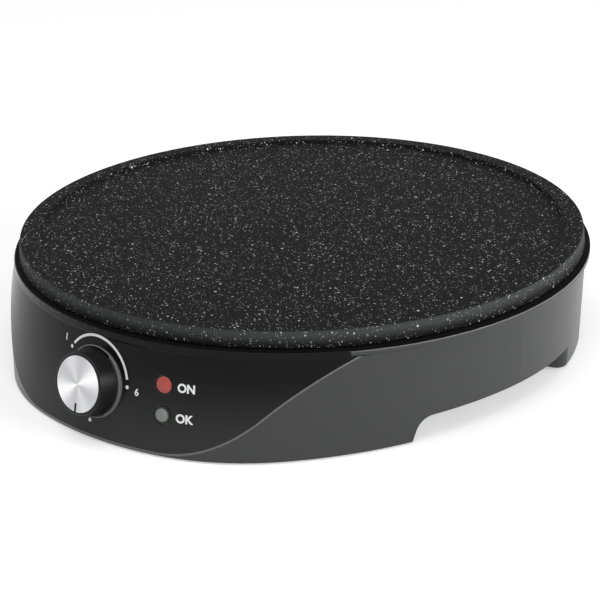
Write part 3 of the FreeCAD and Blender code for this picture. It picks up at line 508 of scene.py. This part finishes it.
# Bottom cover and pads: the cover is moulded in the same plastic with a fine matt grain, and held by
# four screws. A rubber pad is glued under each stud and each rear leg.
def plain_finish(name, colour, roughness, uneven=0.06, metallic=0.0, specular=0.5, grain_scale=2500.0,
                 mottle_scale=35.0, relief=0.00002, shade=0.82):
    """One material's finish, with its grain as relief and its mottling in colour and roughness."""
    material = bpy.data.materials.new(name)
    material.use_nodes = True
    tree = material.node_tree
    shader = tree.nodes["Principled BSDF"]
    shader.inputs["Metallic"].default_value = metallic
    shader.inputs["Specular IOR Level"].default_value = specular
    place = add_node(tree, "ShaderNodeTexCoord")
    texture = add_node(tree, "ShaderNodeGroup", node_tree=grain)
    texture.inputs["Grain Scale"].default_value = grain_scale
    texture.inputs["Mottle Scale"].default_value = mottle_scale
    tree.links.new(place.outputs["Object"], texture.inputs["Place"])
    rough = add_node(tree, "ShaderNodeMapRange", {"From Min": 0.3, "From Max": 0.7, "To Min": roughness - uneven,
                                                  "To Max": roughness + uneven}, {"Value": texture.outputs["Mottle"]})
    tree.links.new(rough.outputs[0], shader.inputs["Roughness"])
    tint = add_node(tree, "ShaderNodeMix", {"A": (*[channel * shade for channel in colour], 1), "B": (*colour, 1)},
                    {"Factor": texture.outputs["Mottle"]}, data_type="RGBA")
    tree.links.new(tint.outputs["Result"], shader.inputs["Base Color"])
    relief_node = add_node(tree, "ShaderNodeBump", {"Strength": 1.0, "Distance": relief},
                           {"Height": texture.outputs["Grain"]})
    tree.links.new(relief_node.outputs[0], shader.inputs["Normal"])
    return material


dress("bottom_cover", plain_finish("matt_cover", (0.014, 0.014, 0.0145), 0.5, relief=0.00003))
rubber = plain_finish("pad_rubber", (0.02, 0.02, 0.02), 0.75, specular=0.3, relief=0.00004)
for corner in ("front_left", "front_right", "rear_left", "rear_right"):
    dress(corner + "_pad", rubber)


# Knob: a hollow cup moulded in satin black plastic. Its socket is pushed on the flatted spindle of
# the thermostat, which comes out through the collar in the panel.
dress("knob", plain_finish("knob_plastic", (0.006, 0.006, 0.0065), 0.34, 0.03, specular=0.22, relief=0.00001))


# Knob cap: a disc of aluminium, spun so that its face carries fine rings, and pressed into the knob.
# The light that the rings throw back in wedges meeting at the middle is painted into the colour as painted highlight
# wedges. Its slot points at the scale.
cap_painted_highlight = (0.93, 0.93, 0.94, 1)
cap_grey = (0.50, 0.50, 0.51, 1)
wedge_turn = math.radians(28)
ring_pitch = 0.00016
spun = bpy.data.materials.new("spun_aluminium")
spun.use_nodes = True
tree = spun.node_tree
shader = tree.nodes["Principled BSDF"]
shader.inputs["Metallic"].default_value = 1.0
shader.inputs["Roughness"].default_value = 0.30
shader.inputs["Anisotropic"].default_value = 0.6
place = add_node(tree, "ShaderNodeTexCoord")
from_middle = add_node(tree, "ShaderNodeVectorMath", {1: tuple(panel_point)}, {0: place.outputs["Object"]},
                       operation="SUBTRACT")
round_axis = add_node(tree, "ShaderNodeVectorMath", {0: tuple(panel_normal)}, {1: from_middle.outputs[0]},
                      operation="CROSS_PRODUCT")
distance = add_node(tree, "ShaderNodeVectorMath", links={0: round_axis.outputs[0]}, operation="LENGTH")
across = add_node(tree, "ShaderNodeVectorMath", {1: (1, 0, 0)}, {0: from_middle.outputs[0]}, operation="DOT_PRODUCT")
upward = Vector((0, math.sin(panel_tilt), math.cos(panel_tilt)))
up = add_node(tree, "ShaderNodeVectorMath", {1: tuple(upward)}, {0: from_middle.outputs[0]}, operation="DOT_PRODUCT")
angle = add_node(tree, "ShaderNodeMath", links={0: up.outputs["Value"], 1: across.outputs["Value"]},
                 operation="ARCTAN2")
# Painted highlight: bright wedges are painted into the colour by angle around the cap's middle.
painted_highlight_wedges = None
for folds, sharpness, weight in ((1.0, 6.0, 0.62), (2.0, 3.0, 0.38)):
    turned = add_node(tree, "ShaderNodeMath", {1: folds, 2: -folds * wedge_turn}, {0: angle.outputs[0]},
                      operation="MULTIPLY_ADD")
    wave = add_node(tree, "ShaderNodeMath", links={0: turned.outputs[0]}, operation="COSINE")
    folded = add_node(tree, "ShaderNodeMath", links={0: wave.outputs[0]}, operation="ABSOLUTE")
    narrow = add_node(tree, "ShaderNodeMath", {1: sharpness}, {0: folded.outputs[0]}, operation="POWER")
    share = add_node(tree, "ShaderNodeMath", {1: weight}, {0: narrow.outputs[0]}, operation="MULTIPLY")
    painted_highlight_wedges = share if painted_highlight_wedges is None else add_node(tree, "ShaderNodeMath", links={0: painted_highlight_wedges.outputs[0],
                                                                                 1: share.outputs[0]})
tone = add_node(tree, "ShaderNodeMix", {"A": cap_grey, "B": cap_painted_highlight}, {"Factor": painted_highlight_wedges.outputs[0]},
                data_type="RGBA")
tree.links.new(tone.outputs["Result"], shader.inputs["Base Color"])
tree.links.new(round_axis.outputs[0], shader.inputs["Tangent"])
phase = add_node(tree, "ShaderNodeMath", {1: 2 * math.pi / ring_pitch}, {0: distance.outputs["Value"]},
                 operation="MULTIPLY")
rings = add_node(tree, "ShaderNodeMath", links={0: phase.outputs[0]}, operation="SINE")
turning = add_node(tree, "ShaderNodeBump", {"Strength": 0.4, "Distance": 0.000003}, {"Height": rings.outputs[0]})
tree.links.new(turning.outputs[0], shader.inputs["Normal"])
dress("knob_cap", spun)


# Signal lamps: clear plugs with a shallow dome, red for power and smoke grey for ready, each clipped
# into a recess in the panel with a small neon bulb behind it. The edge of the dome looks dark.
lens_colours = {"power": (0.50, 0.066, 0.042, 1), "ready": (0.24, 0.25, 0.24, 1)}
lens_edges = {"power": (0.0039, 0.0042), "ready": (0.0030, 0.0034)}
for lamp, (turn, height) in lamp_places.items():
    lens = bpy.data.materials.new(lamp + "_lens")
    lens.use_nodes = True
    tree = lens.node_tree
    shader = tree.nodes["Principled BSDF"]
    shader.inputs["Roughness"].default_value = 0.16
    middle = on_panel(turn * panel_reach, (height - panel_point.z) / math.cos(panel_tilt), 0)
    outward = on_panel(turn * panel_reach, (height - panel_point.z) / math.cos(panel_tilt), 1) - middle
    place = add_node(tree, "ShaderNodeTexCoord")
    from_middle = add_node(tree, "ShaderNodeVectorMath", {1: tuple(middle)}, {0: place.outputs["Object"]},
                           operation="SUBTRACT")
    aside = add_node(tree, "ShaderNodeVectorMath", {0: tuple(outward)}, {1: from_middle.outputs[0]},
                     operation="CROSS_PRODUCT")
    distance = add_node(tree, "ShaderNodeVectorMath", links={0: aside.outputs[0]}, operation="LENGTH")
    inner, outer = lens_edges[lamp]
    rim = add_node(tree, "ShaderNodeMapRange", {"From Min": inner, "From Max": outer},
                   {"Value": distance.outputs["Value"]})
    texture = add_node(tree, "ShaderNodeGroup", node_tree=grain)
    texture.inputs["Mottle Scale"].default_value = 500.0
    tree.links.new(place.outputs["Object"], texture.inputs["Place"])
    deep = tuple(0.88 * channel for channel in lens_colours[lamp][:3]) + (1,)
    body = add_node(tree, "ShaderNodeMix", {"A": deep, "B": lens_colours[lamp]},
                    {"Factor": texture.outputs["Mottle"]}, data_type="RGBA")
    colour = add_node(tree, "ShaderNodeMix", {"B": (0.006, 0.005, 0.005, 1)},
                      {"Factor": rim.outputs[0], "A": body.outputs["Result"]}, data_type="RGBA")
    tree.links.new(colour.outputs["Result"], shader.inputs["Base Color"])
    dress(lamp + "_lamp_lens", lens)
bulb = plain_finish("bulb_glass", (0.8, 0.75, 0.7), 0.12)
for lamp in lamp_places:
    dress(lamp + "_lamp_bulb", bulb)


# Cord gland and clamp: a bush of black nylon pressed into the rear wall, and inside it a nylon bridge
# that two screws pull down on the cover's saddle to hold the supply cord.
nylon = plain_finish("black_nylon", (0.011, 0.011, 0.011), 0.42, relief=0.00002)
dress("cord_gland", nylon)
dress("cord_clamp", nylon)

# Heating element: a rod with a steel sheath, bent to a ring and tinted by heat. Beads of unglazed
# ceramic seal its ends, and a steel pin comes out of each.
sheath = plain_finish("sheath_steel", (0.30, 0.27, 0.24), 0.45, 0.1, metallic=1.0, mottle_scale=60.0, shade=0.6)
dress("heating_element", sheath)
dress("element_pins", sheath)
ceramic = plain_finish("unglazed_ceramic", (0.78, 0.75, 0.68), 0.8, specular=0.3, shade=0.9)
dress("element_beads", ceramic)

# Reflector and fuse: bright aluminised sheet, pressed to a dish, with a fuse in an aluminium can
# clipped under it. Pressed mica washers keep the plate's heat from the base.
aluminised = plain_finish("aluminised_sheet", (0.72, 0.72, 0.73), 0.3, metallic=1.0, mottle_scale=150.0)
dress("heat_reflector", aluminised)
dress("thermal_fuse", aluminised)
dress("insulating_washers", plain_finish("pressed_mica", (0.5, 0.42, 0.28), 0.6, mottle_scale=400.0, shade=0.7))

# Thermostat: a switch block of unglazed ceramic on a bracket of zinc-plated sheet. Its blades are
# brass, and its steel spindle carries the knob.
dress("thermostat_body", ceramic)
zinc = plain_finish("zinc_plate", (0.60, 0.61, 0.63), 0.34, metallic=1.0, mottle_scale=250.0)
for piece in ("thermostat_bracket", "thermostat_spindle", "fuse_clip"):
    dress(piece, zinc)
brass = plain_finish("tinned_brass", (0.70, 0.64, 0.45), 0.3, metallic=1.0)
dress("thermostat_terminals", brass)

# Terminal block and screws: the block is moulded in natural nylon and its screws are brass. The
# screws that hold the plate, the cover, the bracket and the clamp are steel, plated with zinc.
dress("terminal_block", plain_finish("natural_nylon", (0.75, 0.74, 0.68), 0.5))
dress("terminal_screws", brass)
for group in ("plate_screws", "cover_screws", "bracket_screws", "clamp_screws"):
    dress(group, zinc)
